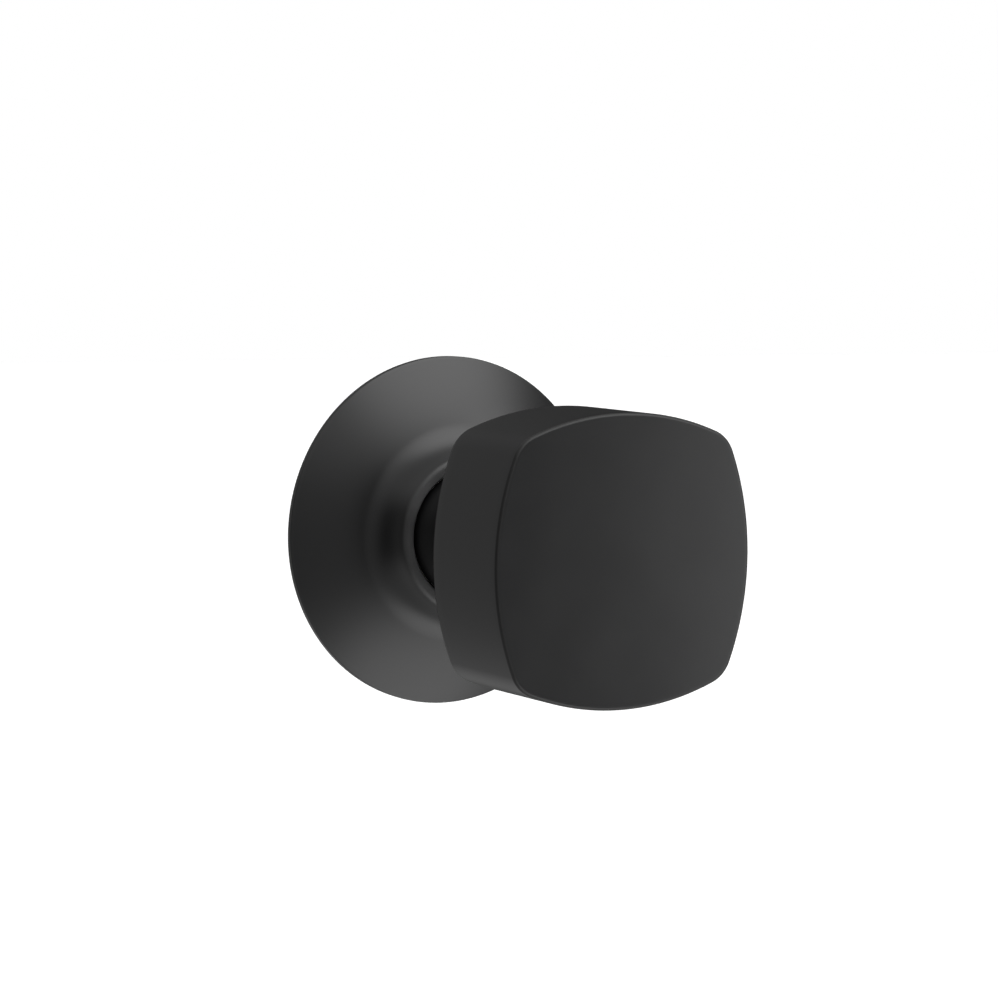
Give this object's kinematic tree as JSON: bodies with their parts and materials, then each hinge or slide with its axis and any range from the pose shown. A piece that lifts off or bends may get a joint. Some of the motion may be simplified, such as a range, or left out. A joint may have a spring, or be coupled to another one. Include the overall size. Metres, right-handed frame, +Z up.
{
  "type": "door knob",
  "caption": "Passage door knob for one side of a door: a soft-square black knob on a flared round rose, with its square spindle, spring cassette and bolt posts.",
  "frame": {"origin": "centre of the rose, on the plane where the rose seats on the door's face", "axes": "+Y into the door along the spindle, +Z up, so the knob stands out along -Y and +X is to the right of a person facing it"},
  "size_m": [0.0666, 0.1006, 0.0666],
  "materials": {
    "black_coat": "satin black powder coat",
    "black_oxide_steel": "black oxide on steel",
    "zinc_steel": "bright zinc plate",
    "bright_steel": "ground steel",
    "spring_steel": "oiled spring steel",
    "sintered_steel": "sintered, matt",
    "cast_zinc": "die-cast zinc alloy, tumbled",
    "zinc_sheet": "zinc-plated sheet steel",
    "turned_brass": "fine turned",
    "nylon": "natural nylon",
    "rubber": "nitrile rubber"
  },
  "bodies": {
    "rose": {"rose_cover": "black_coat", "mounting_plate": "cast_zinc", "bolt_posts": "zinc_steel", "bearing_hub": "black_oxide_steel", "neck_bush": "turned_brass", "thrust_washer": "nylon", "cover_o_ring": "rubber", "spring_housing": "cast_zinc", "housing_lid": "zinc_sheet", "return_spring_front": "spring_steel", "return_spring_rear": "spring_steel", "cassette_screws": "zinc_steel", "lock_washers": "spring_steel"},
    "knob": {"knob_head": "black_coat", "knob_neck": "black_coat", "neck_grub_screw": "black_oxide_steel", "head_screw": "zinc_steel", "neck_dowels": "bright_steel", "spindle": "zinc_steel", "retaining_ring": "spring_steel", "disc_spring": "spring_steel", "spring_carrier": "sintered_steel"}
  },
  "joints": [
    {"name": "knob_turn", "type": "hinge", "parent": "rose", "child": "knob", "pos_m": [0, 0, 0], "axis": [0, 1, 0], "range_deg": [-55, 55], "stiffness_Nm_per_rad": 0.25, "deforming": ["return_spring_front", "return_spring_rear"]}
  ]
}
